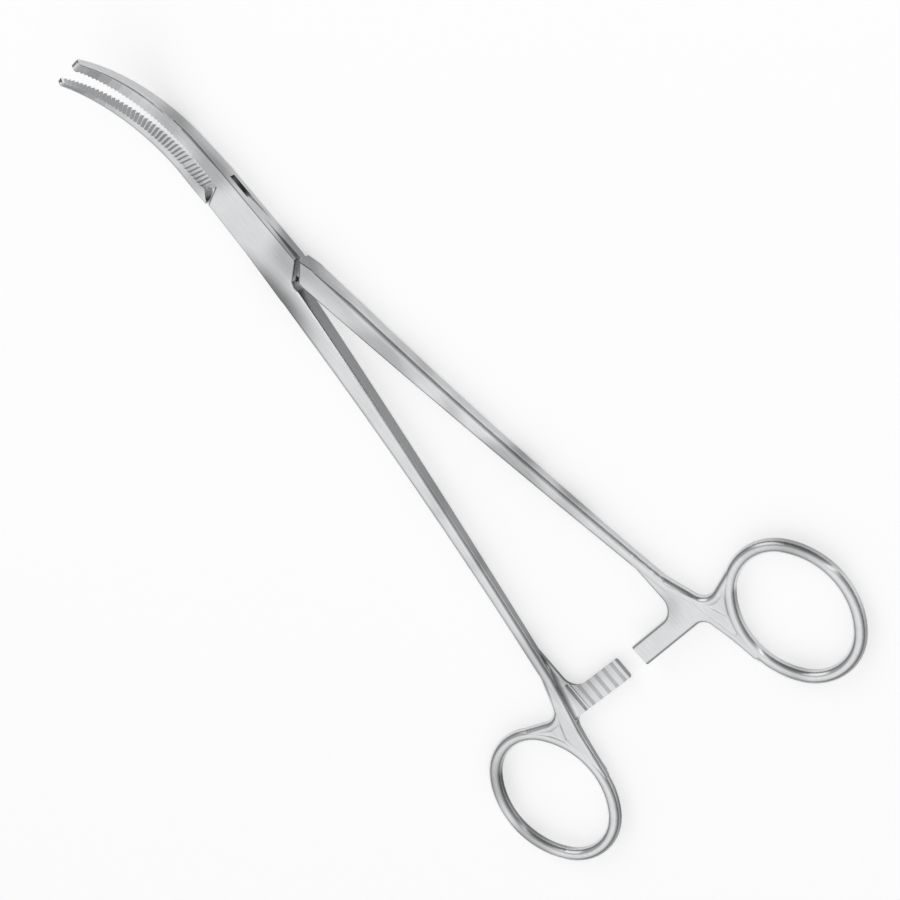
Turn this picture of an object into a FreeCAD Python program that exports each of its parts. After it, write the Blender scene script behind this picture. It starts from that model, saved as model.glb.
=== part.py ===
import FreeCAD, Part
import Sketcher
import math
import os

os.makedirs("parts", exist_ok=True)
doc = FreeCAD.newDocument("HemostaticForceps")

# Driving dimensions in millimetres and degrees.
# The hinge axis is Z, the jaws point along +Y and the finger rings along -Y.
# Each half is drawn with its serrated face parallel to the YZ plane and is
# then turned about the hinge by rest_turn, to the slightly open rest pose.
# X positions are counted towards the side of the half's own shank.
sheet = doc.addObject("Spreadsheet::Sheet", "Dimensions")
dimensions = [
    ("rest_turn", 0.92),
    ("box_thickness", 5.0),
    ("cheek_thickness", 1.6),
    ("web_play", 0.05),
    ("pin_radius", 1.5),
    ("pin_play", 0.05),
    ("edge_round", 0.5),
    ("overcut", 1.0),
    ("box_front", 13.2),
    ("box_rear", 16.5),
    ("root_outer", 5.3),
    ("root_inner", 0.42),
    ("box_waist_x", 4.25),
    ("box_waist_y", 3.0),
    ("cheek_front_x", 3.61),
    ("cheek_front_y", 10.15),
    ("cheek_face_y", 11.85),
    ("end_run", 1.1),
    ("cheek_rear_x", 4.13),
    ("cheek_rear_y", 11.34),
    ("cheek_notch_x", 0.13),
    ("cheek_notch_y", 14.2),
    ("cheek_corner_round", 1.0),
    ("slot_front", 11.0),
    ("slot_front_slant", 0.5),
    ("slot_rear", 12.3),
    ("slot_rear_slant", 2.4),
    ("slot_face_clear", 0.1),
    ("front_shoulder_gap", 0.55),
    ("rear_shoulder_gap", 0.76),
    ("web_front_corner", 5.53),
    ("web_rear_corner", 5.0),
    ("web_half_width", 4.18),
    ("web_rear_gap", 0.75),
    ("web_rear_run", 1.5),
    ("web_rear_inset", 0.4),
    ("web_neck_inset", 0.95),
    ("shoulder_inset", 0.9),
    ("jaw_gap", 1.12),
    ("jaw_base_width", 3.29),
    ("jaw_tip_width", 2.3),
    ("lean_jaw_base_width", 2.45),
    ("lean_jaw_tip_width", 1.3),
    ("jaw_tip_height", 1.7),
    ("jaw_back_round", 0.42),
    ("bevel_front", 13.3),
    ("bevel_inset", 0.3),
    ("bevel_past", 0.2),
    ("jaw_straight_share", 0.2),
    ("jaw_width_power", 1.5),
    ("jaw_height_power", 1.9),
    ("jaw_tip_taper", 0.7),
    ("jaw_bend_start", 20.3),
    ("jaw_bend_radius", 32.8),
    ("jaw_bend_angle", 57.7),
    ("jaw_tip_round", 0.7),
    ("serration_pitch", 1.0),
    ("serration_depth", 0.35),
    ("serration_start", 13.8),
    ("shank_end", 115.0),
    ("shank_bow_x", 8.42),
    ("shank_end_x", 16.95),
    ("shank_swell", 10.0),
    ("shank_end_width", 2.95),
    ("shank_end_depth", 3.15),
    ("shank_inner_round", 1.25),
    ("shank_outer_round", 1.45),
    ("shank_swell_power", 8),
    ("shank_swell_round", 1.2),
    ("shank_width_power", 1.6),
    ("shank_depth_power", 1.2),
    ("shank_round_power", 0.4),
    ("neck_top_in", 3.75),
    ("neck_top_width", 3.7),
    ("neck_top_depth", 2.9),
    ("neck_middle_down", 7.0),
    ("neck_middle_in", 1.3),
    ("neck_middle_width", 4.5),
    ("neck_middle_depth", 2.7),
    ("neck_end_down", 18.8),
    ("neck_end_in", 0.3),
    ("neck_end_width", 2.0),
    ("neck_end_depth", 2.3),
    ("neck_round", 0.95),
    ("ring_x", 35.19),
    ("ring_y", 135.5),
    ("ring_cant", 1.8),
    ("ring_half_width", 12.7),
    ("ring_half_length", 15.3),
    ("ring_end_radius", 11.0),
    ("ring_tube_radius", 1.48),
    ("fork_radius", 1.4),
    ("fork_start_in", 0.35),
    ("fork_start_up", 2.2),
    ("fork_corner_in", 1.61),
    ("fork_corner_down", 4.11),
    ("fork_corner_round", 4.45),
    ("fork_end_out", 7.4),
    ("fork_end_down", 1.2),
    ("plate_thickness", 2.3),
    ("plate_1_out", -2.0),
    ("plate_1_down", 1.3),
    ("plate_2_out", -3.5),
    ("plate_2_down", 3.8),
    ("plate_3_out", -0.5),
    ("plate_3_down", 12.3),
    ("plate_4_out", 1.6),
    ("plate_4_down", 7.8),
    ("plate_5_out", 4.0),
    ("plate_5_down", 4.1),
    ("plate_6_out", 1.0),
    ("plate_6_down", 3.0),
    ("bar_y", 122.48),
    ("bar_width", 5.1),
    ("bar_tip_x", 1.14),
    ("bar_thickness", 1.45),
    ("bar_play", 0.1),
    ("bar_front_round", 3.6),
    ("bar_rear_round", 2.4),
    ("bar_edge_round", 0.8),
    ("bar_corner_in", 2.65),
    ("bar_flare_up", 12.5),
    ("bar_flare_in", 2.55),
    ("bar_flare_out", 1.35),
    ("bar_neck_up", 6.0),
    ("bar_neck_in", 0.15),
    ("bar_lap_out", 2.6),
    ("bar_lap_up", 3.0),
    ("bar_heel_out", 1.5),
    ("bar_ankle_down", 7.5),
    ("bar_ankle_in", 2.2),
    ("bar_ankle_round", 12.0),
    ("bar_foot_down", 13.0),
    ("bar_foot_in", 1.42),
    ("bar_foot_lap", 0.4),
    ("tooth_pitch", 2.46),
    ("tooth_depth", 0.6),
    ("tooth_count", 5),
    ("tooth_land", 0.8),
    ("tooth_slope", 0.95),
    ("relief_run", 2.4),
    ("relief_land", 0.4),
    ("relief_past", 1.0),
]
for row, (alias, number) in enumerate(dimensions, start=1):
    sheet.set("A%d" % row, alias)
    sheet.set("B%d" % row, str(number))
    sheet.setAlias("B%d" % row, alias)
doc.recompute()

MIDDLE = "<box_thickness> / 2"
RING_SIDE = "(<ring_x> - <ring_half_width>)"
RING_TOP = "(<ring_half_length> - <ring_y>)"
VERTICAL = FreeCAD.Vector(0, 0, 1)
SHANK_SPANS = 10
JAW_SPANS = 12
TIP_LEANS = (40, 75)
PLATE_CORNERS = 6
TOUCH = 1e-6


def cells(expression):
    # A name in angle brackets stands for a cell of the sheet.
    return str(expression).replace("<", "Dimensions.").replace(">", "")


def value(expression):
    result = sheet.evalExpression(cells(expression))
    return float(getattr(result, "Value", result))


def add_sketch(body, name, role, place=("0", "0", "0"), axis=(1, 0, 0), turn="0"):
    # The sketch lies on a plane of its body's origin, moved and turned by expressions.
    sketch = body.newObject("Sketcher::SketchObject", name)
    plane = [item for item in body.Origin.OriginFeatures if item.Role == role][0]
    sketch.AttachmentSupport = (plane, [""])
    sketch.MapMode = "FlatFace"
    rotation = FreeCAD.Rotation(FreeCAD.Vector(*axis), 1)
    sketch.AttachmentOffset = FreeCAD.Placement(FreeCAD.Vector(), rotation)
    for letter, expression in zip("xyz", place):
        sketch.setExpression(".AttachmentOffset.Base." + letter, cells(expression))
    sketch.setExpression(".AttachmentOffset.Rotation.Angle", cells(turn))
    return sketch


def drive(sketch, constraint, name, expression):
    # Adds a constraint whose value follows the sheet.
    index = sketch.addConstraint(constraint)
    sketch.renameConstraint(index, name)
    sketch.setExpression("Constraints." + name, cells(expression))


def pin_point(sketch, geometry, position, name, x, y):
    # Fixes a point by its two distances from the sketch's origin.
    along_x = Sketcher.Constraint("DistanceX", -1, 1, geometry, position, value(x))
    along_y = Sketcher.Constraint("DistanceY", -1, 1, geometry, position, value(y))
    drive(sketch, along_x, name + "x", x)
    drive(sketch, along_y, name + "y", y)


def corner_arc(before, corner, after, radius):
    # The tangent arc in a corner: its two ends, its curve and whether it turns left.
    back = (before - corner).normalize()
    ahead = (after - corner).normalize()
    half = back.getAngle(ahead) / 2
    reach = radius / math.tan(half)
    first = corner + back * reach
    last = corner + ahead * reach
    centre = corner + (back + ahead).normalize() * (radius / math.sin(half))
    left = (ahead.cross(back)).z > 0
    start, end = (first, last) if left else (last, first)
    start_angle = math.atan2(start.y - centre.y, start.x - centre.x)
    end_angle = math.atan2(end.y - centre.y, end.x - centre.x)
    if end_angle < start_angle:
        end_angle += 2 * math.pi
    circle = Part.Circle(centre, VERTICAL, radius)
    return first, last, Part.ArcOfCircle(circle, start_angle, end_angle), left


def outline(sketch, corners, closed=True):
    # An outline of straight runs, closed or open. A corner is (x, y), or
    # (x, y, radius) where it is rounded, all as expressions.
    places = [FreeCAD.Vector(value(c[0]), value(c[1]), 0) for c in corners]
    count = len(corners)
    runs = count if closed else count - 1
    arcs = {}
    for i, corner in enumerate(corners):
        if len(corner) == 3:
            arcs[i] = corner_arc(places[i - 1], places[i], places[(i + 1) % count], value(corner[2]))
    for i in range(runs):
        following = (i + 1) % count
        start = arcs[i][1] if i in arcs else places[i]
        end = arcs[following][0] if following in arcs else places[following]
        sketch.addGeometry(Part.LineSegment(start, end))
    for i, corner in enumerate(corners):
        previous = (i - 1) % count
        name = "corner%d" % i
        if i == runs:
            pin_point(sketch, previous, 2, name, corner[0], corner[1])
            continue
        if i not in arcs:
            if closed or i > 0:
                sketch.addConstraint(Sketcher.Constraint("Coincident", previous, 2, i, 1))
            pin_point(sketch, i, 1, name, corner[0], corner[1])
            continue
        arc = sketch.addGeometry(arcs[i][2])
        begin, finish = (1, 2) if arcs[i][3] else (2, 1)
        sketch.addConstraint(Sketcher.Constraint("Tangent", previous, 2, arc, begin))
        sketch.addConstraint(Sketcher.Constraint("Tangent", arc, finish, i, 1))
        drive(sketch, Sketcher.Constraint("Radius", arc, value(corner[2])), name + "r", corner[2])
        apex = sketch.addGeometry(Part.Point(places[i]), True)
        sketch.addConstraint(Sketcher.Constraint("PointOnObject", apex, 1, previous))
        sketch.addConstraint(Sketcher.Constraint("PointOnObject", apex, 1, i))
        pin_point(sketch, apex, 1, name, corner[0], corner[1])


def circle(sketch, radius):
    # A circle about the sketch's origin.
    sketch.addGeometry(Part.Circle(FreeCAD.Vector(), VERTICAL, value(radius)))
    sketch.addConstraint(Sketcher.Constraint("Coincident", 0, 3, -1, 1))
    drive(sketch, Sketcher.Constraint("Radius", 0, value(radius)), "radius", radius)


def oval(sketch, half_width, half_length, end_radius):
    # A four-arc oval about the sketch's origin, longest along its Y axis.
    a, b, r = value(half_width), value(half_length), value(end_radius)
    end_y = b - r
    side_radius = (a * a + end_y * end_y - r * r) / (2 * (a - r))
    side_x = side_radius - a
    lean = math.atan2(end_y, side_x)
    arcs = (
        (-side_x, 0, side_radius, -lean, lean),
        (0, end_y, r, lean, math.pi - lean),
        (side_x, 0, side_radius, math.pi - lean, math.pi + lean),
        (0, -end_y, r, math.pi + lean, 2 * math.pi - lean),
    )
    for x, y, radius, start, end in arcs:
        whole = Part.Circle(FreeCAD.Vector(x, y, 0), VERTICAL, radius)
        sketch.addGeometry(Part.ArcOfCircle(whole, start, end))
    for i in range(4):
        sketch.addConstraint(Sketcher.Constraint("Tangent", i, 2, (i + 1) % 4, 1))
    for i, name, sign in ((1, "upper", ""), (3, "lower", "-")):
        sketch.addConstraint(Sketcher.Constraint("PointOnObject", i, 3, -2))
        centre_y = "%s(%s - %s)" % (sign, half_length, end_radius)
        drive(sketch, Sketcher.Constraint("DistanceY", -1, 1, i, 3, value(centre_y)), name, centre_y)
        drive(sketch, Sketcher.Constraint("Radius", i, r), name + "_radius", end_radius)
    for i, name, x in ((0, "right", half_width), (2, "left", "-" + half_width)):
        flank = sketch.addGeometry(Part.Point(FreeCAD.Vector(value(x), 0, 0)), True)
        pin_point(sketch, flank, 1, name, x, "0")
        sketch.addConstraint(Sketcher.Constraint("PointOnObject", flank, 1, i))


def section(sketch, side, width, depth, inner_round, outer_round):
    # A bar section about the sketch's origin. Its inner corners face the other half
    # and are sharp where they get no radius.
    half_width = "(%s) / 2" % width
    half_depth = "(%s) / 2" % depth
    inner = mirror(side, "-" + half_width)
    outer = mirror(side, half_width)
    inner_rounding = (inner_round,) if inner_round else ()
    outline(sketch, [
        (inner, half_depth) + inner_rounding,
        (inner, "-" + half_depth) + inner_rounding,
        (outer, "-" + half_depth, outer_round),
        (outer, half_depth, outer_round),
    ])


def mirror(side, expression):
    # Turns a distance towards the half's own shank into an X position.
    return expression if side > 0 else "-(%s)" % expression


def mirrored(side, corners):
    return [(mirror(side, c[0]),) + tuple(c[1:]) for c in corners]


def feature(body, kind, name, sketch, **settings):
    item = body.newObject("PartDesign::" + kind, name)
    item.Profile = sketch
    for key, setting in settings.items():
        setattr(item, key, setting)
    return item


def pad(body, name, sketch, length):
    item = feature(body, "Pad", name, sketch)
    item.setExpression("Length", cells(length))
    return item


def pocket(body, name, sketch, length):
    # Cuts the same distance to both sides of the sketch.
    item = feature(body, "Pocket", name, sketch, Midplane=True)
    item.setExpression("Length", cells(length))
    return item


def loft(body, name, sketches):
    item = feature(body, "AdditiveLoft", name, sketches[0])
    item.Sections = sketches[1:]
    item.Ruled = True
    return item


def round_edges(body, name, base, wanted, radius):
    # Rounds the edges of a feature for which wanted(edge) is true.
    doc.recompute()
    edges = ["Edge%d" % (i + 1) for i, edge in enumerate(base.Shape.Edges) if wanted(edge)]
    item = body.newObject("PartDesign::Fillet", name)
    item.Base = (base, edges)
    item.setExpression("Radius", cells(radius))
    return item


def is_rim(edge):
    # Edges of the flat top and underside, apart from the end faces that carry on
    # and the sharp edge that carries on along the jaw's gripping face.
    thickness = value("<box_thickness>")
    ends = (value("<box_front>"), -value("<box_rear>"))
    points = [vertex.Point for vertex in edge.Vertexes]
    flat = any(all(abs(p.z - level) < TOUCH for p in points) for level in (0, thickness))
    at_end = any(all(abs(p.y - end) < TOUCH for p in points) for end in ends)
    gripping = all(abs(abs(p.x) - value("<jaw_gap>")) < TOUCH for p in points)
    return flat and not at_end and not gripping


# Shank, finger ring and ratchet bar, which both halves share.

def add_shank(body, side):
    # The shank runs from the box root, bows outwards and thins towards the ring.
    # Just behind the box its outer side swells a little.
    sketches = []
    for index in range(SHANK_SPANS + 1):
        share = index / SHANK_SPANS
        left = "(1 - %.4f)" % share
        swell = "<shank_swell> * %.4f * %s ^ <shank_swell_power>" % (share, left)
        x = "(<root_outer> + <root_inner>) / 2 * %s ^ 2" % left
        x += " + 2 * <shank_bow_x> * %s * %.4f + <shank_end_x> * %.4f" % (left, share, share ** 2)
        x += " + " + swell + " / 2"
        y = "<box_rear> * %s + <shank_end> * %.4f" % (left, share)
        width = "<shank_end_width> + " + swell
        width += " + (<root_outer> - <root_inner> - <shank_end_width>) * %s ^ <shank_width_power>" % left
        depth = "<shank_end_depth>"
        depth += " + (<box_thickness> - <shank_end_depth>) * %s ^ <shank_depth_power>" % left
        inner = "<edge_round> + (<shank_inner_round> - <edge_round>) * %.4f" % share
        outer = "<edge_round> + (<shank_outer_round> - <edge_round>) * %.4f ^ <shank_round_power>" % share
        outer += " + <shank_swell_round> * " + swell
        sketch = add_sketch(body, "shank_section_%d" % index, "XZ_Plane", (mirror(side, x), MIDDLE, y))
        section(sketch, side, width, depth, inner, outer)
        sketches.append(sketch)
    # Past the ratchet the shank's neck widens and runs into the inner side of the ring.
    for name, down in (("top", "0"), ("middle", "<neck_middle_down>"), ("end", "<neck_end_down>")):
        x = mirror(side, RING_SIDE + " - <neck_%s_in>" % name)
        sketch = add_sketch(body, "neck_" + name, "XZ_Plane", (x, MIDDLE, "%s - %s" % (down, RING_TOP)))
        width, depth = "<neck_%s_width>" % name, "<neck_%s_depth>" % name
        section(sketch, side, width, depth, "<neck_round>", "<neck_round>")
        sketches.append(sketch)
    loft(body, "shank", sketches)


def add_ring(body, side):
    # An oval finger ring: a round bar swept round a four-arc oval.
    centre = (mirror(side, "<ring_x>"), "-<ring_y>", MIDDLE)
    cant = mirror(side, "-<ring_cant>")
    path = add_sketch(body, "ring_path", "XY_Plane", centre, (0, 0, 1), cant)
    oval(path, "<ring_half_width>", "<ring_half_length>", "<ring_end_radius>")
    top_x = mirror(side, "<ring_x> + <ring_half_length> * sin(<ring_cant>)")
    top_y = "-<ring_y> + <ring_half_length> * cos(<ring_cant>)"
    profile = add_sketch(body, "ring_section", "YZ_Plane", (top_y, MIDDLE, top_x), (0, 1, 0), cant)
    circle(profile, "<ring_tube_radius>")
    spine = (path, ["Edge1", "Edge2", "Edge3", "Edge4"])
    feature(body, "AdditivePipe", "ring", profile, Spine=spine)


def add_fork(body, side):
    # The ring parts from the shank in a rounded notch. A round bar follows the
    # notch and a plate fills the fork behind it.
    start_x = "(<shank_end_x> - <fork_start_in>)"
    start_y = "(<fork_start_up> - <shank_end>)"
    corner_x = "(%s - <fork_corner_in>)" % RING_SIDE
    corner_y = "(%s - <fork_corner_down>)" % RING_TOP
    path = add_sketch(body, "fork_path", "XY_Plane", ("0", "0", MIDDLE))
    outline(path, mirrored(side, [
        (start_x, start_y),
        (corner_x, corner_y, "<fork_corner_round>"),
        (RING_SIDE + " + <fork_end_out>", RING_TOP + " - <fork_end_down>"),
    ]), closed=False)
    lean = "atan((%s - %s) / (%s - %s))" % (corner_x, start_x, start_y, corner_y)
    place = (mirror(side, start_x), MIDDLE, "-" + start_y)
    profile = add_sketch(body, "fork_section", "XZ_Plane", place, (0, 1, 0), mirror(side, lean))
    circle(profile, "<fork_radius>")
    feature(body, "AdditivePipe", "fork", profile, Spine=(path, ["Edge1", "Edge3", "Edge2"]))
    plan = add_sketch(body, "fork_plan", "XY_Plane", ("0", "0", MIDDLE))
    outline(plan, mirrored(side, [
        (RING_SIDE + " + <plate_%d_out>" % i, RING_TOP + " - <plate_%d_down>" % i)
        for i in range(1, PLATE_CORNERS + 1)]))
    plate = pad(body, "fork_plate", plan, "<plate_thickness>")
    plate.Midplane = True


def bar_levels(side):
    # The teeth face upwards (1) or downwards (-1). The heights of their crests and
    # of the bar's smooth outer face.
    flip = 1 if side < 0 else -1
    crest = MIDDLE + " - %d * <bar_play> / 2" % flip
    outer = MIDDLE + " - %d * (<bar_play> / 2 + <bar_thickness>)" % flip
    return flip, crest, outer


def add_bar(body, side):
    # The ratchet bar reaches across to the other shank. Its root flares into the
    # shank and the ring with a round on each side.
    crest, outer = bar_levels(side)[1:]
    front = "-<bar_y> + <bar_width> / 2"
    rear = "-<bar_y> - <bar_width> / 2"
    root = "<shank_end_x>"
    plan = add_sketch(body, "bar_plan", "XY_Plane", ("0", "0", "(%s + %s) / 2" % (crest, outer)))
    outline(plan, mirrored(side, [
        ("<bar_tip_x>", front),
        ("<bar_tip_x>", rear),
        (root + " + <bar_heel_out>", rear, "<bar_rear_round>"),
        (RING_SIDE + " - <bar_ankle_in>", rear + " - <bar_ankle_down>", "<bar_ankle_round>"),
        (RING_SIDE + " - <bar_foot_in>", rear + " - <bar_foot_down>"),
        (RING_SIDE + " + <bar_foot_lap>", rear + " - <bar_foot_down>"),
        (root + " + <bar_lap_out>", rear + " + <bar_lap_up>"),
        (root + " - <bar_neck_in>", front + " + <bar_neck_up>"),
        (root + " - <bar_flare_out>", front + " + <bar_flare_up>"),
        (root + " - <bar_flare_in>", front + " + <bar_flare_up>"),
        (root + " - <bar_corner_in>", front, "<bar_front_round>"),
    ]))
    bar = pad(body, "bar", plan, "<bar_thickness>")
    bar.Midplane = True

    def is_long_edge(edge):
        points = [vertex.Point for vertex in edge.Vertexes]
        flat = all(abs(p.z - value(outer)) < TOUCH for p in points)
        return flat and any(all(abs(p.y - value(y)) < TOUCH for p in points) for y in (front, rear))

    round_edges(body, "bar_edges", bar, is_long_edge, "<bar_edge_round>")


def add_teeth(body, side):
    # Saw teeth across the bar. A slanted cut in the shank clears the tip of the
    # other bar.
    flip, crest = bar_levels(side)[:2]
    valley = MIDDLE + " - %d * (<bar_play> / 2 + <tooth_depth>)" % flip
    above = MIDDLE + " + %d * <box_thickness> / 2" % flip
    last = "<bar_tip_x> + <tooth_land> + <tooth_count> * <tooth_pitch>"
    relief = add_sketch(body, "relief_profile", "XZ_Plane", ("0", "0", "<bar_y> - <relief_past>"))
    outline(relief, mirrored(side, [
        (last + " - <tooth_depth>", crest),
        (last, valley),
        (last + " + <relief_land>", valley),
        (last + " + <relief_land> + <relief_run>", above),
        (last + " - <tooth_depth>", above),
    ]))
    pocket(body, "relief", relief, "<bar_width> + 2 * (<relief_past> + <web_play>)")
    # One notch between two teeth, repeated along the bar.
    notch = add_sketch(body, "tooth_profile", "XZ_Plane", ("0", "0", "<bar_y>"))
    first = "<bar_tip_x> + <tooth_land>"
    outline(notch, mirrored(side, [
        (first, crest),
        (first, valley),
        (first + " + <tooth_slope>", crest),
    ]))
    cut = pocket(body, "tooth_notch", notch, "<bar_width> + <overcut>")
    row = body.newObject("PartDesign::LinearPattern", "teeth")
    row.Originals = [cut]
    row.Direction = (notch, ["H_Axis"])
    row.Reversed = side < 0
    row.setExpression("Length", cells("<tooth_pitch> * (<tooth_count> - 1)"))
    row.setExpression("Occurrences", cells("<tooth_count>"))
    body.Tip = row


# The curved jaw.

def add_jaw(body, side, base_width, tip_width):
    # The jaw carries on from the box root, straight at first, and then bends
    # upwards on an arc while it thins towards the tip, whose end is rounded.
    sketches = []
    straight = value("<jaw_straight_share>")
    stations = [("<box_front>", "0", 0, "0"), ("<jaw_bend_start>", "0", straight, "0")]
    for index in range(1, JAW_SPANS + 1):
        part = index / JAW_SPANS
        share = straight + (1 - straight) * part
        stations.append(("<jaw_bend_start>", "<jaw_bend_angle> * %.5f" % part, share, "0"))
    for lean in TIP_LEANS:
        turn = "(<jaw_bend_angle> + <jaw_tip_round> * sin(%d) / <jaw_bend_radius> * 180 / pi)" % lean
        stations.append(("<jaw_bend_start>", turn, 1, "2 * <jaw_tip_round> * (1 - cos(%d))" % lean))
    for index, (start, angle, share, inset) in enumerate(stations):
        taper = "%.5f ^ <jaw_width_power>" % share
        full_width = "%s - (%s - %s) * %s" % (base_width, base_width, tip_width, taper)
        width = "(%s - %s * <jaw_tip_taper>)" % (full_width, inset)
        height = "(<box_thickness> - %s" % inset
        height += " - (<box_thickness> - <jaw_tip_height>) * %.5f ^ <jaw_height_power>)" % share
        x = mirror(side, "-(<jaw_gap> + (%s) / 2)" % full_width)
        y = "-(%s + <jaw_bend_radius> * sin(%s))" % (start, angle)
        z = MIDDLE + " + <jaw_bend_radius> * (1 - cos(%s))" % angle
        sketch = add_sketch(body, "jaw_section_%d" % index, "XZ_Plane", (x, z, y), (1, 0, 0), angle)
        back_round = "<jaw_back_round> * %s / 2" % height if index else "<edge_round>"
        section(sketch, -side, width, height, None, back_round)
        sketches.append(sketch)
    loft(body, "jaw", sketches)


def add_serrations(body, side, shift):
    # Crosswise grooves in the jaw's face, in a row along the straight stretch and
    # fanned about the centre of the bend.
    face = "-<jaw_gap>"
    floor = "-(<jaw_gap> + <serration_depth>)"
    mouth = "-(<jaw_gap> - <serration_depth>)"
    for name, start in (("straight", "<serration_start>"), ("bend", "<jaw_bend_start>")):
        middle = start + " + %s * <serration_pitch>" % shift
        groove = add_sketch(body, name + "_groove", "XY_Plane", ("0", "0", MIDDLE))
        outline(groove, mirrored(side, [
            (floor, middle),
            (mouth, middle + " + <serration_pitch>"),
            (mouth, middle + " - <serration_pitch>"),
        ]))
        cut = pocket(body, name + "_cut", groove, "<box_thickness> + <overcut>")
        if name == "straight":
            row = body.newObject("PartDesign::LinearPattern", "straight_serrations")
            row.Originals = [cut]
            row.Direction = (groove, ["V_Axis"])
            room = "floor((<jaw_bend_start> - <serration_start>) / <serration_pitch>)"
            row.setExpression("Occurrences", cells(room))
            row.setExpression("Length", cells("<serration_pitch> * (%s - 1)" % room))
        else:
            centre = ("<jaw_bend_start>", MIDDLE + " + <jaw_bend_radius>", "0")
            axis = add_sketch(body, "bend_axis", "YZ_Plane", centre)
            row = body.newObject("PartDesign::PolarPattern", "bend_serrations")
            row.Originals = [cut]
            row.Axis = (axis, ["N_Axis"])
            row.Reversed = False
            turn = "(<serration_pitch> / <jaw_bend_radius> * 180 / pi)"
            count = "floor(<jaw_bend_angle> / %s)" % turn
            row.setExpression("Occurrences", cells(count))
            row.setExpression("Angle", cells("%s * (%s - 1)" % (turn, count)))
        body.Tip = row
        doc.recompute()


# The female half: the box of the box lock, with a cheek above and below its slot.

def make_female_half():
    side = -1
    body = doc.addObject("PartDesign::Body", "female_half")
    body.Label = "female_half"
    body.AllowCompound = True
    plan = add_sketch(body, "box_plan", "XY_Plane")
    outline(plan, mirrored(side, [
        ("<root_outer>", "-<box_rear>"),
        ("<root_outer>", "-<box_rear> + <end_run>"),
        ("<box_waist_x>", "-<box_waist_y>"),
        ("<cheek_front_x>", "<cheek_front_y>"),
        ("-<jaw_gap>", "<cheek_face_y>"),
        ("-<jaw_gap>", "<box_front>"),
        ("-(<jaw_gap> + <jaw_base_width>)", "<box_front>"),
        ("-(<jaw_gap> + <jaw_base_width>)", "<box_front> - <end_run>"),
        ("-<cheek_rear_x>", "-<cheek_rear_y>", "<cheek_corner_round>"),
        ("-<cheek_notch_x>", "-<cheek_notch_y>"),
        ("<root_inner>", "-<box_rear> + <end_run>"),
        ("<root_inner>", "-<box_rear>"),
    ]))
    box = pad(body, "box", plan, "<box_thickness>")
    round_edges(body, "box_rims", box, is_rim, "<edge_round>")
    add_bar(body, side)
    add_jaw(body, side, "<jaw_base_width>", "<jaw_tip_width>")
    add_shank(body, side)
    add_ring(body, side)
    add_fork(body, side)
    # The slot is open at the front and rear, where the other half passes through.
    slot = add_sketch(body, "slot_plan", "XY_Plane", ("0", "0", MIDDLE))
    beyond = "2 * <box_waist_x>"
    outline(slot, mirrored(side, [
        ("-" + beyond, "<slot_front>"),
        ("-<jaw_gap>", "<slot_front> + <slot_front_slant>"),
        ("-<jaw_gap> + <slot_face_clear>", "<box_front> + <overcut>"),
        (beyond, "<box_front> + <overcut>"),
        (beyond, "-<slot_rear>"),
        ("<cheek_notch_x>", "-<slot_rear> - <slot_rear_slant>"),
        ("-<cheek_notch_x>", "-<box_rear> - <overcut>"),
        ("-" + beyond, "-<box_rear> - <overcut>"),
    ]))
    pocket(body, "slot", slot, "<box_thickness> - 2 * <cheek_thickness>")
    add_pin_hole(body, "<pin_radius>")
    add_teeth(body, side)
    add_serrations(body, side, 0)
    return body


def add_pin_hole(body, radius):
    hole = add_sketch(body, "pin_hole_plan", "XY_Plane", ("0", "0", MIDDLE))
    circle(hole, radius)
    pocket(body, "pin_hole", hole, "<box_thickness> + <overcut>")


# The male half: a thin web through the slot joins its shank to its jaw.

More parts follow.
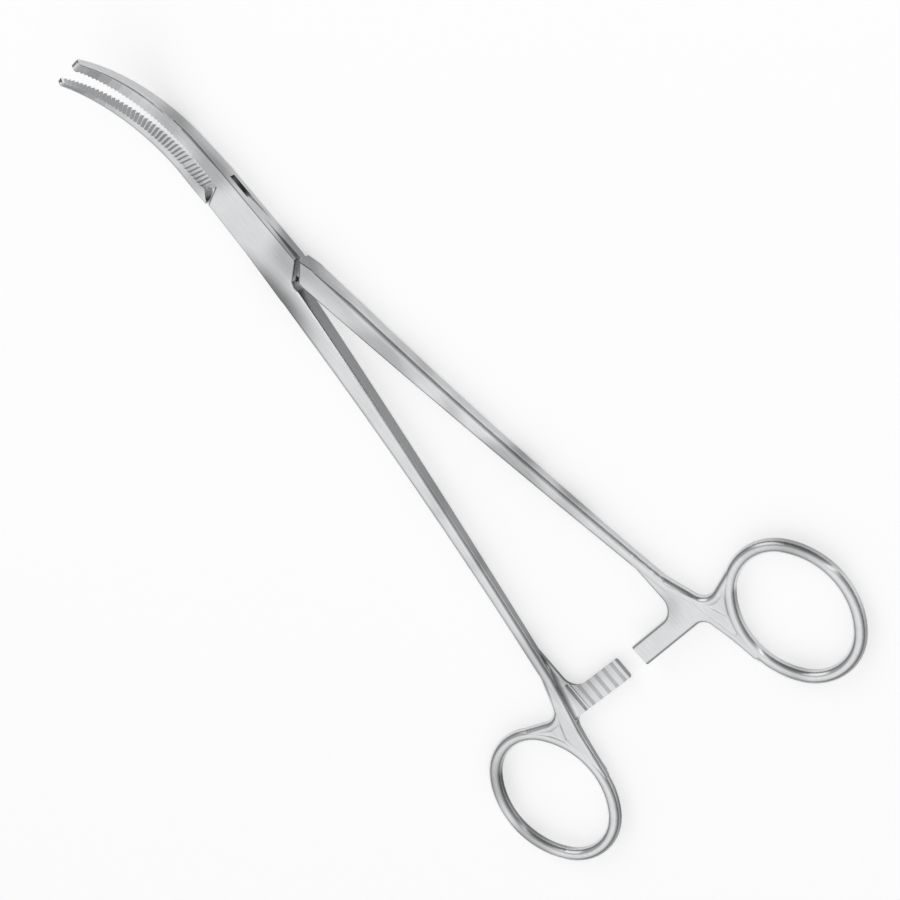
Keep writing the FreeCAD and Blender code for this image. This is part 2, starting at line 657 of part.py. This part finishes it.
def make_male_half():
    side = 1
    body = doc.addObject("PartDesign::Body", "male_half")
    body.Label = "male_half"
    body.AllowCompound = True
    jaw_outer = "-(<jaw_gap> + <lean_jaw_base_width>)"
    web_plan = add_sketch(body, "web_plan", "XY_Plane", ("0", "0", MIDDLE))
    outline(web_plan, mirrored(side, [
        (jaw_outer, "<box_front>"),
        ("-<web_half_width>", "-<web_rear_corner>"),
        ("<root_inner> + <web_rear_gap>", "-<box_rear> + <web_rear_run>"),
        ("<root_inner> + <web_rear_gap>", "-<box_rear>"),
        ("<root_outer> - <web_rear_inset>", "-<box_rear>"),
        ("<root_outer> - <web_neck_inset>", "-<cheek_rear_y>"),
        ("<web_half_width>", "<web_front_corner>"),
        ("-<jaw_gap>", "<box_front>"),
    ]))
    web = pad(body, "web", web_plan, "<box_thickness> - 2 * (<cheek_thickness> + <web_play>)")
    web.Midplane = True
    # The full-thickness roots stop short of the cheeks with slanted shoulders.
    jaw_root = add_sketch(body, "jaw_root_plan", "XY_Plane")
    slope = "(<cheek_face_y> - <cheek_front_y>) / (<cheek_front_x> + <jaw_gap>)"
    inner_shoulder = "<cheek_front_y> + (<cheek_front_x> - <jaw_gap>) * %s + <front_shoulder_gap>" % slope
    outline(jaw_root, mirrored(side, [
        (jaw_outer, "<box_front>"),
        (jaw_outer, "<cheek_front_y> + <front_shoulder_gap>"),
        ("-<jaw_gap>", inner_shoulder),
        ("-<jaw_gap>", "<box_front>"),
    ]))
    pad(body, "jaw_root", jaw_root, "<box_thickness>")
    shank_root = add_sketch(body, "shank_root_plan", "XY_Plane")
    outline(shank_root, mirrored(side, [
        ("<root_inner>", "-<box_rear>"),
        ("<root_outer>", "-<box_rear>"),
        ("<root_outer>", "-<box_rear> + <end_run>"),
        ("<root_outer> - <shoulder_inset>", "-<cheek_rear_y> - <rear_shoulder_gap>"),
        ("<root_inner>", "-<box_rear> + <end_run>"),
    ]))
    roots = pad(body, "shank_root", shank_root, "<box_thickness>")
    round_edges(body, "root_rims", roots, is_rim, "<edge_round>")
    add_bar(body, side)
    add_jaw(body, side, "<lean_jaw_base_width>", "<lean_jaw_tip_width>")
    # A bevel on each flat side runs from the jaw down to the web.
    ledge = "<cheek_thickness> + <web_play>"
    for name, flat, deep in (("upper", "<box_thickness>", "<box_thickness> - (%s)" % ledge),
                             ("lower", "0", ledge)):
        sketches = []
        for level, reach in ((flat, "<bevel_front>"), (deep, inner_shoulder)):
            sketch = add_sketch(body, "%s_bevel_%d" % (name, len(sketches)), "XY_Plane", ("0", "0", level))
            outline(sketch, [
                ("-<cheek_front_x> + <bevel_inset>", "<cheek_front_y> + <front_shoulder_gap>"),
                ("-<jaw_gap> + <bevel_past>", reach),
                ("-<jaw_gap> + <bevel_past>", "<cheek_front_y>"),
            ])
            sketches.append(sketch)
        bevel = feature(body, "SubtractiveLoft", name + "_bevel", sketches[0])
        bevel.Sections = sketches[1:]
    add_shank(body, side)
    add_ring(body, side)
    add_fork(body, side)
    add_pin_hole(body, "<pin_radius> + <pin_play>")
    add_teeth(body, side)
    add_serrations(body, side, 0.5)
    return body


# The concealed hinge pin, held in both cheeks and ground flush with them.

def make_pivot_pin():
    body = doc.addObject("PartDesign::Body", "pivot_pin")
    body.Label = "pivot_pin"
    plan = add_sketch(body, "pin_plan", "XY_Plane")
    circle(plan, "<pin_radius>")
    pad(body, "pin", plan, "<box_thickness>")
    return body


def turn_to_rest(body, side):
    body.Placement = FreeCAD.Placement(FreeCAD.Vector(), FreeCAD.Rotation(VERTICAL, 1))
    body.setExpression(".Placement.Rotation.Angle", cells(mirror(side, "<rest_turn>")))


female_half = make_female_half()
male_half = make_male_half()
pivot_pin = make_pivot_pin()
turn_to_rest(female_half, -1)
turn_to_rest(male_half, 1)
doc.recompute()

for item in doc.Objects:
    if "Invalid" in item.State or "Error" in item.State:
        raise RuntimeError("%s did not build: %s" % (item.Name, item.State))
for body in (female_half, male_half, pivot_pin):
    shape = body.Shape
    if shape.isNull() or not shape.isValid() or len(shape.Solids) != 1:
        raise RuntimeError("%s has no valid single solid" % body.Label)
for body in (female_half, male_half, pivot_pin):
    body.Shape.exportStep("parts/%s.step" % body.Label)
    print(body.Label, "volume", round(body.Shape.Volume, 3))
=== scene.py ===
import math

import bmesh
import bpy
import numpy as np
from mathutils import Matrix, Vector


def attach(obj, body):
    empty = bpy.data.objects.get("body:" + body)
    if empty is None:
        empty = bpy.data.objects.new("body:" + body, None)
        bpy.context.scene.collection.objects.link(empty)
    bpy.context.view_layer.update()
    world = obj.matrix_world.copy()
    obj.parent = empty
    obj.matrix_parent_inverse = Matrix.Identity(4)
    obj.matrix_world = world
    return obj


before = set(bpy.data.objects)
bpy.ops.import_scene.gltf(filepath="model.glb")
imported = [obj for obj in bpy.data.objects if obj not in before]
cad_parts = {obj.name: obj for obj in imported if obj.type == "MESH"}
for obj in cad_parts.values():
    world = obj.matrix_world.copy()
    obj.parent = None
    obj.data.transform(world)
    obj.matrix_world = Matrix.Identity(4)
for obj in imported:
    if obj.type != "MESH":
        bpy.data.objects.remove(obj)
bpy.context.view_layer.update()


# The two forged halves of the forceps and their hinge pin.
# Stainless steel, forged, ground, hardened and then satin polished by hand along the
# length. The pin is pressed into the female half's cheeks and ground flush with them.

class Value:
    """A shader socket that takes part in plain arithmetic."""

    def __init__(self, material, socket):
        self.material = material
        self.socket = socket

    def maths(self, operation, *others, swap=False):
        inputs = [self, *others]
        if swap:
            inputs.reverse()
        return self.material.node("ShaderNodeMath", {"operation": operation},
                                  dict(enumerate(inputs)))

    def __add__(self, other):
        return self.maths("ADD", other)

    def __radd__(self, other):
        return self.maths("ADD", other)

    def __sub__(self, other):
        return self.maths("SUBTRACT", other)

    def __rsub__(self, other):
        return self.maths("SUBTRACT", other, swap=True)

    def __mul__(self, other):
        return self.maths("MULTIPLY", other)

    def __rmul__(self, other):
        return self.maths("MULTIPLY", other)


class Finish:
    """A node material. Its one node method takes a type, settings, then the values or
    links of the sockets, by name or number."""

    def __init__(self, name, **surface):
        self.material = bpy.data.materials.new(name)
        self.material.use_nodes = True
        self.tree = self.material.node_tree
        self.shader = self.tree.nodes["Principled BSDF"]
        self.surface(**surface)

    def set(self, socket, value):
        if isinstance(value, Value):
            self.tree.links.new(value.socket, socket)
        else:
            socket.default_value = value

    def surface(self, **surface):
        """Sets the shader's own sockets, with _ for a space in their names."""
        for socket, value in surface.items():
            self.set(self.shader.inputs[socket.replace("_", " ")], value)

    def node(self, kind, settings=(), sockets=(), output=0):
        made = self.tree.nodes.new(kind)
        for key, setting in dict(settings).items():
            if key == "stops":
                elements = made.color_ramp.elements
                while len(elements) < len(setting):
                    elements.new(0.5)
                for element, (place, level) in zip(elements, setting):
                    element.position = place
                    element.color = (level, level, level, 1)
            else:
                setattr(made, key, setting)
        for key, value in dict(sockets).items():
            self.set(made.inputs[key], value)
        return Value(self, made.outputs[output])


def split(vector, axis):
    """One axis of a vector."""
    return vector.material.node("ShaderNodeSeparateXYZ", {}, {0: vector}, axis)


def rise(value, edge):
    """edge is (low, high): 0 below low, 1 above high, an even S curve between. Falls
    where low is above high."""
    low, high = edge
    return value.material.node("ShaderNodeMapRange", {"interpolation_type": "SMOOTHSTEP"},
                               {"Value": value, "From Min": low, "From Max": high})


# Soft edges of zones along Y, which runs ahead to the jaws, in metres.
GROOVES_START = (0.0135, 0.0138)
SHANKS_START = (-0.0160, -0.0168)
BARS_FRONT = (-0.1187, -0.1190)
BARS_REAR = (-0.1262, -0.1259)
GRIPS_START = (-0.1230, -0.1245)
# Soft edges of the row of ratchet teeth in its distance from the middle plane.
TEETH_ROOT = (0.0170, 0.0165)
TEETH_TIP = (0.0032, 0.0035)
# Soft edges in how far a surface faces along an axis, from 0 to 1.
UPRIGHT = (0.5, 0.2)
FACING_IN = (0.4, 0.8)
FACING_BACK = (-0.2, -0.6)
JAW_FACE = (0.5, 0.6)
GROOVE_FLANK = (0.2, 0.4)
TOOTH_FLANK = (0.8, 0.95)
# How the polish and the painted top light follow how upward a surface faces.
TOP_LIGHT_AND_POLISH_STOPS = ((0.05, 0.0), (0.55, 0.55), (0.95, 1.0))
# Noise in features per metre. The lines are drawn out along Y.
LINE_SCALE, LINE_DETAIL, LINE_STRETCH = 4200.0, 3.0, (1.0, 0.05, 1.0)
CLOUD_SCALE, CLOUD_DETAIL = 110.0, 4.0
SPECK_SCALE, SPECK_DETAIL = 1700.0, 2.0
# The random blots of painted dark reflection.
BLOT_SCALE, BLOT_DETAIL, BLOT_EDGE = 50.0, 1.0, (0.50, 0.66)
# Shares of light and dark in the colour. Those of the top light, the blots, the jaw faces,
# grooves, teeth, inner walls and back faces are painted light and shade.
BASE_SHADE, PAINTED_TOP_LIGHT, CLOUD_SHADE, LINE_SHADE = 0.40, 0.20, 0.20, 0.18
# Painted dark reflection in the blots, weaker on flats.
BLOT_DARK_ON_ROUNDS, BLOTS_SPARED_ON_FLATS = 0.50, 0.14
# Painted light on the jaws' gripping faces. Painted shade on their groove flanks and on the
# steep sides of the ratchet teeth.
JAW_FACE_LIGHT, GROOVE_DARK, TOOTH_DARK = 0.35, 0.62, 0.5
# Painted shade on the walls between the shanks and on the sides that face back at the bars and
# rings.
INNER_DARK, BACK_DARK = 0.5, 0.5
RED_TINT, BLUE_TINT = 0.99, 1.015
BASE_ROUGH, CLOUD_ROUGH, LINE_ROUGH, POLISH_SMOOTH = 0.14, 0.12, 0.08, 0.05
BUMP_STRENGTH, BUMP_DEPTH, LINE_BUMP, SPECK_BUMP = 0.25, 0.00004, 0.6, 0.4
PATCH_EDGE = (1.0, 0.15)


def satin_steel(name, side, patches=()):
    """Fine lengthwise polishing lines, cloudy buffing and small handling marks. The flat sides
    are polished smoother than the narrow side walls, and painted brighter: a painted top light.
    Random blots, darker on rounds and side walls than on flats, are painted dark reflections.
    Painted shade darkens the grooves of the jaws, the steep sides of the ratchet's teeth, the
    walls between the shanks and the sides that face back at the bars and rings; painted light
    brightens the gripping faces of the jaws. side is 1 where the half's shank is on the +X
    side. A patch is a soft darker stretch, a painted dark reflection: its middle, half lengths
    and strength."""
    steel = Finish(name, Metallic=1.0)

    def noise(vector, scale, detail):
        return steel.node("ShaderNodeTexNoise", {},
                          {"Vector": vector, "Scale": scale, "Detail": detail})

    place = steel.node("ShaderNodeTexCoord", output="Object")
    facing = steel.node("ShaderNodeTexCoord", output="Normal")
    ahead = split(place, "Y")
    outward = split(place, "X").maths("ABSOLUTE")
    level = split(facing, "Z").maths("ABSOLUTE")
    sideways = split(facing, "X").maths("ABSOLUTE")

    # Painted top light: flat sides lighter than upright ones. The same mask also makes them
    # smoother.
    polish_and_top_light = steel.node("ShaderNodeValToRGB", {"stops": TOP_LIGHT_AND_POLISH_STOPS}, {"Fac": level})
    along = steel.node("ShaderNodeMapping", {}, {"Vector": place, "Scale": LINE_STRETCH})
    lines = noise(along, LINE_SCALE, LINE_DETAIL)
    clouds = noise(place, CLOUD_SCALE, CLOUD_DETAIL)
    specks = noise(place, SPECK_SCALE, SPECK_DETAIL)
    # Random blots of painted dark reflection.
    dark_reflection_blots = rise(noise(place, BLOT_SCALE, BLOT_DETAIL), BLOT_EDGE)

    # Painted shade on the walls that face the other half between the shanks.
    inner = (rise(split(facing, "X") * -side, FACING_IN) * rise(level, UPRIGHT)
             * rise(ahead, SHANKS_START))
    # Painted shade on the sides that face back, at the bars and rings.
    back = rise(split(facing, "Y"), FACING_BACK) * rise(ahead, GRIPS_START)
    # Painted light on the jaw's gripping face, and painted shade on the flanks of its grooves.
    jaw_face = rise(split(facing, "X") * side, JAW_FACE) * rise(ahead, GROOVES_START)
    grooves = rise(split(facing, "Y"), GROOVE_FLANK) * jaw_face
    # Painted shade on the steep sides of the ratchet teeth.
    teeth = (rise(sideways, TOOTH_FLANK) * rise(ahead, BARS_FRONT) * rise(ahead, BARS_REAR)
             * rise(outward, TEETH_ROOT) * rise(outward, TEETH_TIP))

    # Painted top light over random buffing tone and polishing lines.
    shade = polish_and_top_light * PAINTED_TOP_LIGHT + clouds * CLOUD_SHADE + lines * LINE_SHADE + BASE_SHADE
    # Painted dark reflection: the blots darken rounds and side walls more than flats.
    shade = shade * (1 - dark_reflection_blots * (BLOT_DARK_ON_ROUNDS - polish_and_top_light * BLOTS_SPARED_ON_FLATS))
    # Painted light and shade: jaw faces, grooves, ratchet teeth, walls between the shanks and
    # sides facing back.
    shade = shade * (1 + jaw_face * JAW_FACE_LIGHT) * (1 - grooves * GROOVE_DARK)
    shade = shade * (1 - teeth * TOOTH_DARK) * (1 - inner * INNER_DARK) * (1 - back * BACK_DARK)
    # Painted dark reflections, each a soft patch.
    for middle, reach, strength in patches:
        offset = steel.node("ShaderNodeVectorMath", {"operation": "SUBTRACT"},
                            {0: place, 1: middle})
        scaled = steel.node("ShaderNodeVectorMath", {"operation": "DIVIDE"},
                            {0: offset, 1: reach})
        away = steel.node("ShaderNodeVectorMath", {"operation": "LENGTH"}, {0: scaled}, "Value")
        shade = shade * (1 - rise(away, PATCH_EDGE) * strength)

    colour = steel.node("ShaderNodeCombineColor", {},
                        {0: shade * RED_TINT, 1: shade, 2: shade * BLUE_TINT})
    rough = clouds * CLOUD_ROUGH + lines * LINE_ROUGH - polish_and_top_light * POLISH_SMOOTH + BASE_ROUGH
    relief = steel.node("ShaderNodeBump", {}, {
        "Strength": BUMP_STRENGTH, "Distance": BUMP_DEPTH,
        "Height": lines * LINE_BUMP + specks * SPECK_BUMP})
    steel.surface(Base_Color=colour, Roughness=rough, Normal=relief)
    return steel.material


# A painted dark reflection on the female half: a stretch behind the box, at its outer edge.
DARK_STRETCH = ((-0.0060, -0.0140, 0.005), (0.0058, 0.0170, 0.006), 0.70)
female_steel = satin_steel("female_satin_steel", -1, [DARK_STRETCH])
male_steel = satin_steel("male_satin_steel", 1)
for node, steel in (("female_half", female_steel), ("male_half", male_steel),
                    ("pivot_pin", female_steel)):
    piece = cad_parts[node]
    piece.data.materials.clear()
    piece.data.materials.append(steel)


# The forged web where the shank, the ratchet bar and the finger ring run together.
# The same steel as its half: the hollows between them are blended round in the die
# and buffed, so this skin fills each crease with a soft round.

# The stretch that the skin covers, and the distance within which corners are one.
FORK_FRONT = -0.104
FORK_REAR = -0.143
FORK_INNER = 0.0165
FORK_OUTER = 0.0335
MERGE = 1e-6
HOLLOW_ROUND = 0.0011
SKIN_DEPTH = 0.00002
SKIN_GRAIN = 0.00017
RELAX_FACTOR = 0.5
RELAX_STEPS = 4


def blend_skin(name, node, body, side):
    """The half's own mesh near the fork, grown by the radius of the rounds and shrunk
    again, which fills every hollow with a round of that radius and leaves the rest
    where it was. It is sunk by a hair, so that it shows only in the hollows."""
    outline = bmesh.new()
    outline.from_mesh(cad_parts[node].data)
    bmesh.ops.remove_doubles(outline, verts=outline.verts, dist=MERGE)
    for point, outward in (((0, FORK_FRONT, 0), (0, 1, 0)),
                           ((0, FORK_REAR, 0), (0, -1, 0)),
                           ((side * FORK_INNER, 0, 0), (-side, 0, 0)),
                           ((side * FORK_OUTER, 0, 0), (side, 0, 0))):
        everything = outline.verts[:] + outline.edges[:] + outline.faces[:]
        cut = bmesh.ops.bisect_plane(outline, geom=everything, plane_co=point,
                                     plane_no=outward, clear_outer=True)["geom_cut"]
        rim = [item for item in cut if isinstance(item, bmesh.types.BMEdge)]
        bmesh.ops.triangle_fill(outline, use_beauty=True, edges=rim)
    rough = bpy.data.meshes.new(name + "_rough")
    outline.to_mesh(rough)
    outline.free()
    skin = bpy.data.objects.new(name + "_rough", rough)
    bpy.context.scene.collection.objects.link(skin)
    for step, growth in (("grow", HOLLOW_ROUND), ("shrink", -HOLLOW_ROUND - SKIN_DEPTH)):
        remesh = skin.modifiers.new("even_faces", "REMESH")
        remesh.mode = "VOXEL"
        remesh.voxel_size = SKIN_GRAIN
        relax = skin.modifiers.new("relax", "SMOOTH")
        relax.factor = RELAX_FACTOR
        relax.iterations = RELAX_STEPS
        offset = skin.modifiers.new(step, "DISPLACE")
        offset.strength = growth
        offset.mid_level = 0.0
    finished = skin.evaluated_get(bpy.context.evaluated_depsgraph_get())
    shaped = bpy.data.meshes.new_from_object(finished)
    bpy.data.objects.remove(skin)
    shaped.polygons.foreach_set("use_smooth", np.ones(len(shaped.polygons), bool))
    shaped.materials.clear()
    shaped.materials.append(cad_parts[node].data.materials[0])
    piece = bpy.data.objects.new(name, shaped)
    bpy.context.scene.collection.objects.link(piece)
    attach(piece, body)


blend_skin("female_fork_blend", "female_half", "female_side", -1)
blend_skin("male_fork_blend", "male_half", "male_side", 1)


# The camera, as the photograph has it: from above the hinge, leaning to the right of
# the jaws, with the tips at the upper left and the rings at the lower right. Its
# values were fitted to points of the photograph, in millimetres.

CAMERA_RIGHT = Vector((0.85397, -0.00246, -0.52031))
CAMERA_UP = Vector((0.01353, 0.99976, 0.01747))
CAMERA_BACK = Vector((0.52014, -0.02196, 0.85380))
PICTURE_TURN = math.radians(40.98653320897925)
PIXELS_PER_MM = 4.685039475659134
NEARNESS = 0.0017971861126339856
AIM_RIGHT = -0.5822662066177307
AIM_UP = 63.185714592092076
BOX_MIDDLE = Vector((0, 0, 2.5))
PICTURE_SIDE = 900
SENSOR = 36.0
MM_PER_M = 1000
CLIP_START = 0.01

distance = 1 / NEARNESS
eye = BOX_MIDDLE - CAMERA_RIGHT * AIM_RIGHT - CAMERA_UP * AIM_UP + CAMERA_BACK * distance
right = CAMERA_RIGHT * math.cos(PICTURE_TURN) - CAMERA_UP * math.sin(PICTURE_TURN)
up = CAMERA_RIGHT * math.sin(PICTURE_TURN) + CAMERA_UP * math.cos(PICTURE_TURN)
back = right.cross(up).normalized()
up = back.cross(right).normalized()
camera_data = bpy.data.cameras.new("camera")
camera_data.sensor_width = SENSOR
camera_data.lens = SENSOR * PIXELS_PER_MM * distance / PICTURE_SIDE
camera_data.clip_start = CLIP_START
camera = bpy.data.objects.new("camera", camera_data)
camera.matrix_world = Matrix((
    (right.x, up.x, back.x, eye.x / MM_PER_M),
    (right.y, up.y, back.y, eye.y / MM_PER_M),
    (right.z, up.z, back.z, eye.z / MM_PER_M),
    (0, 0, 0, 1)))
bpy.context.scene.collection.objects.link(camera)
bpy.context.scene.camera = camera


# The pale table the forceps lie on: matt white paper. Camera and glossy rays see it
# almost pure white, apart from the object's soft shadow.

FLOOR_SIZE = 6.0
FLOOR_DROP = 0.0002
PAPER_COLOUR = (0.8, 0.8, 0.8, 1)
PAPER_ROUGHNESS = 0.9
PAPER_LIFT = 0.45

corners = np.array([(-1, -1), (1, -1), (1, 1), (-1, 1)]) * FLOOR_SIZE / 2
floor_mesh = bpy.data.meshes.new("floor")
floor_mesh.from_pydata([(x, y, -FLOOR_DROP) for x, y in corners], [], [(0, 1, 2, 3)])
floor = bpy.data.objects.new("floor", floor_mesh)
bpy.context.scene.collection.objects.link(floor)
paper = Finish("table_white", Base_Color=PAPER_COLOUR, Roughness=PAPER_ROUGHNESS,
               Emission_Strength=1.0)
seen = paper.node("ShaderNodeLightPath", output="Is Camera Ray")
mirrored = paper.node("ShaderNodeLightPath", output="Is Glossy Ray")
lift = (seen + mirrored) * PAPER_LIFT
lifted = paper.node("ShaderNodeCombineColor", {}, {0: lift, 1: lift, 2: lift})
paper.surface(Emission_Color=lifted)
floor_mesh.materials.append(paper.material)


# Soft studio light: a broad white panel beyond the jaws, a narrow one at the right,
# and a room that darkens towards its horizon, to the right and round the broad panel,
# so that round edges and side walls turn grey. The camera sees the room plain white.

def panel(name, place, size, power):
    """A rectangular lamp that faces the middle of the forceps."""
    data = bpy.data.lights.new(name, "AREA")
    data.shape = "RECTANGLE"
    data.size, data.size_y = size
    data.energy = power
    lamp = bpy.data.objects.new(name, data)
    lamp.location = place
    away = Vector(place) - Vector(LIT_MIDDLE)
    lamp.rotation_euler = away.to_track_quat("Z", "Y").to_euler()
    bpy.context.scene.collection.objects.link(lamp)


LIT_MIDDLE = (0, -0.05, 0)
panel("far_panel", place=(0.1, 0.75, 0.65), size=(0.6, 0.7), power=1.0)
panel("side_strip", place=(0.6, -0.1, 0.35), size=(0.08, 0.9), power=0.3)


class Room(Finish):
    """The world's own nodes, made in the same way as a material's."""

    def __init__(self, name):
        self.world = bpy.data.worlds.new(name)
        self.world.use_nodes = True
        self.tree = self.world.node_tree
        self.shader = self.tree.nodes["Background"]


def mixed(factor, low, high):
    """The colour low where factor is 0 and high where it is 1. Sockets 6 and 7 and
    output 2 are the node's colour ones."""
    return factor.material.node("ShaderNodeMix", {"data_type": "RGBA"},
                                {"Factor": factor, 6: low, 7: high}, 2)


# Brightness by the height of a direction, and the soft edges of the darker sides.
GLOW_STOPS = ((0.0, 0.24), (0.25, 0.43), (0.60, 0.75), (0.95, 0.95))
DARK_RIGHT, RIGHT_SHARE = (0.0, 0.8), 0.6
DARK_AHEAD, AHEAD_SHARE = (0.15, 0.5), 0.55
DARK_GREY = (0.1, 0.1, 0.1, 1)
WHITE = (1, 1, 1, 1)

room = Room("studio")
direction = room.node("ShaderNodeTexCoord", output="Generated")
glow = room.node("ShaderNodeValToRGB", {"stops": GLOW_STOPS}, {"Fac": split(direction, "Z")})
dark_right = rise(split(direction, "X"), DARK_RIGHT)
dark_ahead = rise(split(direction, "Y"), DARK_AHEAD)
light = (1 - dark_right * RIGHT_SHARE) * (1 - dark_ahead * AHEAD_SHARE)
seen = room.node("ShaderNodeLightPath", output="Is Camera Ray")
room.surface(Color=mixed(seen, mixed(light, DARK_GREY, glow), WHITE))
bpy.context.scene.world = room.world
bpy.context.scene.view_settings.view_transform = "Standard"
